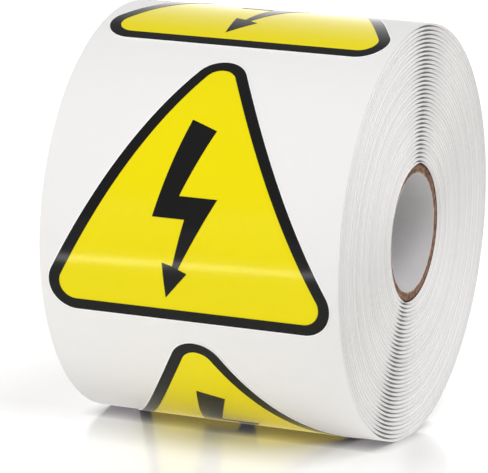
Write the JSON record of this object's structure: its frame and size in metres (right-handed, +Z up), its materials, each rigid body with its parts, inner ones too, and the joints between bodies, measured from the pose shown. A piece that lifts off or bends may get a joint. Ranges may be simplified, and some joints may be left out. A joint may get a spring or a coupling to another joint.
{
  "type": "roll of high voltage warning labels",
  "caption": "Roll of self-adhesive triangular high voltage warning labels on a wound backing web with a cardboard core, lying on its side.",
  "frame": {"origin": "centre of the footprint, on the surface the roll lies on", "axes": "X along the roll's core, -Y towards the front label, +Z up"},
  "size_m": [0.107, 0.1428, 0.1419],
  "materials": {
    "core_board": "brown wound board",
    "lining_paper": "matte",
    "web_paper": "smooth white release paper",
    "yellow_film": "satin",
    "black_print": "satin"
  },
  "bodies": {
    "root": {"core_tube": "core_board", "core_lining": "lining_paper", "web": "web_paper", "label_below": "yellow_film", "label_front": "yellow_film", "label_top": "yellow_film", "label_back": "yellow_film", "print_below": "black_print", "print_front": "black_print", "print_top": "black_print", "print_back": "black_print"}
  },
  "joints": []
}
